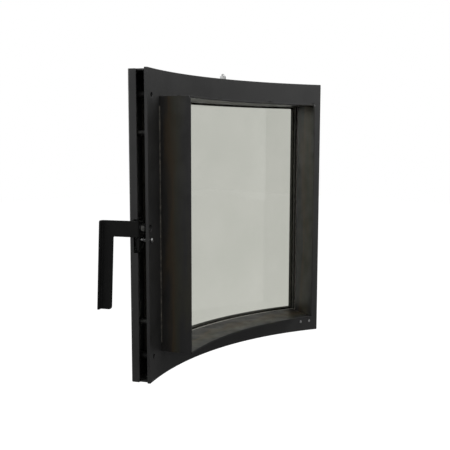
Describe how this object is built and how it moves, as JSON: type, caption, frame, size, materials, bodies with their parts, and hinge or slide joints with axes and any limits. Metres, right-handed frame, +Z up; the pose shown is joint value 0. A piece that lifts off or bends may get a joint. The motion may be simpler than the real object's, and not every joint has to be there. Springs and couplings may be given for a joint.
{
  "type": "firebox door",
  "caption": "Curved black steel door for a wood stove, with a bent glass pane in a deep window tunnel, hinge blocks on one edge and a short-throw latch handle on the other.",
  "frame": {"origin": "on the axis of the stove's two hinge pins, level with the foot of the door", "axes": "+Z up along the hinge pins; the door's outside faces -Y and the fire is on the +Y side; the latch and its handle are on the +X side"},
  "size_m": [0.5225, 0.1186, 0.5112],
  "materials": {
    "black_paint": "matt high-temperature paint",
    "sooted_paint": "matt high-temperature paint with a film of soot",
    "black_steel": "black oxide, satin",
    "zinc": "bright zinc plate",
    "bronze": "dull sintered bronze",
    "ceramic_glass": "clear, faintly grey glass ceramic",
    "pale_fibre": "flat glass-fibre tape",
    "grey_fibre": "flat glass-fibre tape, sooted"
  },
  "bodies": {
    "door": {"corner_screw_hinge_bottom": "black_steel", "corner_screw_hinge_top": "black_steel", "corner_screw_latch_bottom": "black_steel", "corner_screw_latch_top": "black_steel", "corner_standoff_hinge_bottom": "black_steel", "corner_standoff_hinge_top": "black_steel", "corner_standoff_latch_bottom": "black_steel", "corner_standoff_latch_top": "black_steel", "front_glass_seal": "grey_fibre", "front_skin": "black_paint", "gap_spacer_hinge_bottom": "zinc", "gap_spacer_hinge_top": "zinc", "gap_spacer_latch_bottom": "zinc", "gap_spacer_latch_top": "zinc", "glass_pane": "ceramic_glass", "glass_rest_hinge": "black_steel", "glass_rest_latch": "black_steel", "glass_stop_hinge": "black_steel", "glass_stop_latch": "black_steel", "hinge_block_lower": "black_steel", "hinge_block_upper": "black_steel", "hinge_bush_lower": "bronze", "hinge_bush_upper": "bronze", "hinge_screw_inner": "zinc", "hinge_screw_outer": "zinc", "inner_plate": "black_paint", "latch_bracket": "black_steel", "pivot_nut": "zinc", "pivot_stud": "zinc", "pivot_washer": "black_steel", "rear_glass_seal": "pale_fibre", "seal_strip_hinge": "grey_fibre", "seal_strip_latch": "grey_fibre", "shell_bottom": "black_paint", "shell_top": "black_paint", "stop_screw": "zinc", "top_cap_nut": "zinc", "top_stud": "zinc", "top_washer": "zinc", "window_ceiling": "sooted_paint", "window_floor": "sooted_paint", "window_wall_hinge": "sooted_paint", "window_wall_latch": "sooted_paint"},
    "handle": {"handle": "black_paint", "handle_bush": "bronze"}
  },
  "joints": [
    {"name": "handle_swing", "type": "hinge", "parent": "door", "child": "handle", "pos_m": [0.4406, 0.00751, 0.251], "axis": [0.4473, -0.8944, 0], "range_deg": [0, 7]}
  ]
}
